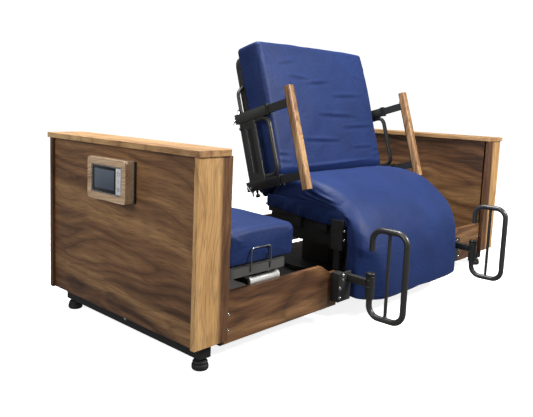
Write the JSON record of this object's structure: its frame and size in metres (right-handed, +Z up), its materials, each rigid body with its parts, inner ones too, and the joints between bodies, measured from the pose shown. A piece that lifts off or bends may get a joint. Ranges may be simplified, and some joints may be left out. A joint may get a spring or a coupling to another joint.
{
  "type": "sit to stand lift",
  "caption": "Sit-to-stand bed with wooden end boards, whose turning, tilting and rising chair section brings the sitter out over the bed's side.",
  "frame": {"origin": "centre of the footprint's bounding box, on the floor", "axes": "+X along the bed from the foot board to the head board, +Y away from the side where the sitter gets out, +Z up"},
  "size_m": [2.4284, 1.2534, 1.2271],
  "materials": {
    "walnut": "satin oiled veneer with straight grain",
    "pale_walnut": "satin oiled light wood",
    "charcoal": "satin metallic powder coat",
    "black_steel": "semi-matt black powder coat",
    "rubber": "matt black rubber",
    "white_plastic": "smooth white plastic",
    "blue_fabric": "navy stretch cover with a soft sheen",
    "glass": "dark glossy touch panel",
    "zinc": "bright zinc plate"
  },
  "bodies": {
    "base": {"footboard_near_side": "pale_walnut", "footboard_far_side": "pale_walnut", "footboard_outer_panel": "walnut", "footboard_inner_panel": "walnut", "footboard_cap": "pale_walnut", "headboard_near_side": "pale_walnut", "headboard_far_side": "pale_walnut", "headboard_outer_panel": "walnut", "headboard_inner_panel": "walnut", "headboard_cap": "pale_walnut", "foot_base_beam": "black_steel", "head_base_beam": "black_steel", "base_spine": "black_steel", "levelling_foot_1": "rubber", "levelling_foot_2": "rubber", "levelling_foot_3": "rubber", "levelling_foot_4": "rubber", "foot_lift_unit": "zinc", "head_lift_unit": "zinc", "screen_housing": "pale_walnut", "screen_glass": "glass"},
    "carriage": {"carriage_frame": "black_steel", "floor_pan": "charcoal", "near_rail_foot": "walnut", "near_rail_head": "walnut", "far_rail": "walnut", "foot_deck_frame": "charcoal", "foot_mattress": "blue_fabric", "mattress_retainer": "zinc", "roller_bracket": "black_steel", "turntable_base": "zinc", "left_handle_bracket": "charcoal", "right_handle_bracket": "charcoal"},
    "roller": {"guide_roller": "white_plastic"},
    "left_handle": {"left_handle_loop": "charcoal", "left_handle_cap": "rubber"},
    "right_handle": {"right_handle_loop": "charcoal", "right_handle_cap": "rubber"},
    "turntable": {"turntable_plate": "black_steel", "lift_column_outer": "charcoal"},
    "seat": {"lift_column_inner": "black_steel", "seat_frame": "charcoal", "seat_mattress": "blue_fabric", "back_hinge_pin": "zinc", "knee_hinge_pin": "zinc"},
    "back": {"back_frame": "charcoal", "back_mattress": "blue_fabric", "left_arm_bracket": "charcoal", "left_arm_collar_lower": "rubber", "left_arm_collar_upper": "rubber", "right_arm_bracket": "charcoal", "right_arm_collar_lower": "rubber", "right_arm_collar_upper": "rubber"},
    "left_armrest": {"left_arm_fork": "charcoal", "left_arm_grip": "pale_walnut"},
    "right_armrest": {"right_arm_fork": "charcoal", "right_arm_grip": "pale_walnut"},
    "leg": {"leg_frame": "charcoal", "leg_mattress": "blue_fabric"}
  },
  "joints": [
    {"name": "carriage_height", "type": "slide", "parent": "base", "child": "carriage", "axis": [0, 0, 1], "range_m": [0, 0.25]},
    {"name": "chair_swivel", "type": "hinge", "parent": "carriage", "child": "turntable", "pos_m": [0.15775, 0.14375, 0.1], "axis": [0, 0, 1], "range_deg": [-90, 0]},
    {"name": "seat_lift", "type": "slide", "parent": "turntable", "child": "seat", "axis": [0, 0, 1], "range_m": [0, 0.18]},
    {"name": "backrest_recline", "type": "hinge", "parent": "seat", "child": "back", "pos_m": [0.15775, 0.20975, 0.435], "axis": [1, 0, 0], "range_deg": [-73.3, 0]},
    {"name": "leg_rest", "type": "hinge", "parent": "seat", "child": "leg", "pos_m": [0.15775, -0.28725, 0.435], "axis": [1, 0, 0], "range_deg": [-90, 0]},
    {"name": "left_armrest_slide", "type": "slide", "parent": "back", "child": "left_armrest", "axis": [0, -0.9578, 0.2874], "range_m": [-0.06, 0.06]},
    {"name": "right_armrest_slide", "type": "slide", "parent": "back", "child": "right_armrest", "axis": [0, -0.9578, 0.2874], "range_m": [-0.06, 0.06]},
    {"name": "left_handle_swing", "type": "hinge", "parent": "carriage", "child": "left_handle", "pos_m": [-0.33025, -0.45625, 0.2], "axis": [0, 0, 1], "range_deg": [-90, 0]},
    {"name": "right_handle_swing", "type": "hinge", "parent": "carriage", "child": "right_handle", "pos_m": [0.64575, -0.45625, 0.2], "axis": [0, 0, 1], "range_deg": [0, 90]},
    {"name": "guide_roller_spin", "type": "hinge", "parent": "carriage", "child": "roller", "pos_m": [-0.79025, -0.26925, 0.272], "axis": [1, 0, 0], "continuous": true}
  ]
}
